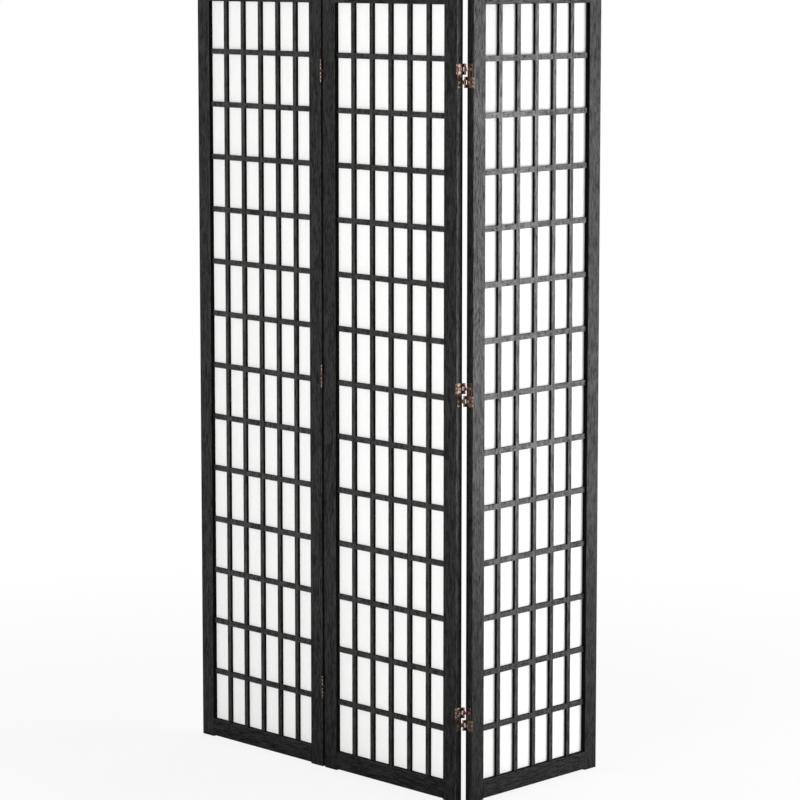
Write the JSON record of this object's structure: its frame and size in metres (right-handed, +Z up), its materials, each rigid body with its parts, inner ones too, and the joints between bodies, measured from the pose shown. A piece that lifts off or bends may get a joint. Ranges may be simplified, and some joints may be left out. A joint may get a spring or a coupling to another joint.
{
  "type": "folding screen",
  "caption": "Free-standing folding room divider of framed lattice panels backed with paper, joined by two-way crossed-link hinges.",
  "frame": {"origin": "on the floor, at the middle of the standing screen's plan box", "axes": "+Z up; panels 1 and 2 lie in line along X with their lattice faces towards -Y; panel 3 is folded back towards +Y at the +X end"},
  "size_m": [0.9272, 0.4727, 1.78],
  "materials": {
    "frame_wood": "black stain, satin, open grain",
    "lattice_wood": "black stain, satin",
    "bead_wood": "black stain, satin",
    "paper": "matt fibrous white paper",
    "hinge_plate": "antique copper plated steel",
    "hinge_pin": "darkened steel pin"
  },
  "bodies": {
    "panel_1": {"panel_1_left_stile": "frame_wood", "panel_1_right_stile": "frame_wood", "panel_1_top_rail": "frame_wood", "panel_1_bottom_rail": "frame_wood", "panel_1_lattice_uprights": "lattice_wood", "panel_1_lattice_crossbars": "lattice_wood", "panel_1_paper": "paper", "panel_1_left_bead": "bead_wood", "panel_1_right_bead": "bead_wood", "panel_1_bottom_bead": "bead_wood", "panel_1_top_bead": "bead_wood", "hinge_12_left_leaves": "hinge_plate", "hinge_12_left_pins": "hinge_pin"},
    "panel_2": {"panel_2_left_stile": "frame_wood", "panel_2_right_stile": "frame_wood", "panel_2_top_rail": "frame_wood", "panel_2_bottom_rail": "frame_wood", "panel_2_lattice_uprights": "lattice_wood", "panel_2_lattice_crossbars": "lattice_wood", "panel_2_paper": "paper", "panel_2_left_bead": "bead_wood", "panel_2_right_bead": "bead_wood", "panel_2_bottom_bead": "bead_wood", "panel_2_top_bead": "bead_wood", "hinge_12_right_leaves": "hinge_plate", "hinge_12_right_pins": "hinge_pin", "hinge_23_left_leaves": "hinge_plate", "hinge_23_left_pins": "hinge_pin", "hinge_23_upper_links": "hinge_plate"},
    "panel_3": {"panel_3_left_stile": "frame_wood", "panel_3_right_stile": "frame_wood", "panel_3_top_rail": "frame_wood", "panel_3_bottom_rail": "frame_wood", "panel_3_lattice_uprights": "lattice_wood", "panel_3_lattice_crossbars": "lattice_wood", "panel_3_paper": "paper", "panel_3_left_bead": "bead_wood", "panel_3_right_bead": "bead_wood", "panel_3_bottom_bead": "bead_wood", "panel_3_top_bead": "bead_wood", "hinge_23_right_leaves": "hinge_plate", "hinge_23_right_pins": "hinge_pin", "hinge_23_lower_links": "hinge_plate"},
    "upper_links_12": {"hinge_12_upper_links": "hinge_plate"},
    "lower_links_12": {"hinge_12_lower_links": "hinge_plate"}
  },
  "joints": [
    {"name": "panel_1_back_fold", "type": "hinge", "parent": "panel_2", "child": "upper_links_12", "pos_m": [-0.01454, -0.21108, 0], "axis": [0, 0, 1], "range_deg": [-100, 0]},
    {"name": "panel_1_front_fold", "type": "hinge", "parent": "upper_links_12", "child": "panel_1", "pos_m": [-0.01454, -0.23389, 0], "axis": [0, 0, 1], "range_deg": [0, 180]},
    {"name": "lower_link_swing", "type": "hinge", "parent": "panel_1", "child": "lower_links_12", "pos_m": [-0.01454, -0.21108, 0], "axis": [0, 0, 1], "range_deg": [0, 100]},
    {"name": "panel_3_fold", "type": "hinge", "parent": "panel_2", "child": "panel_3", "pos_m": [0.43846, -0.21108, 0], "axis": [0, 0, 1], "range_deg": [-98, 82]}
  ],
  "couplings": [
    {"joint": "lower_link_swing", "follows": "panel_1_back_fold", "ratio": -1}
  ]
}
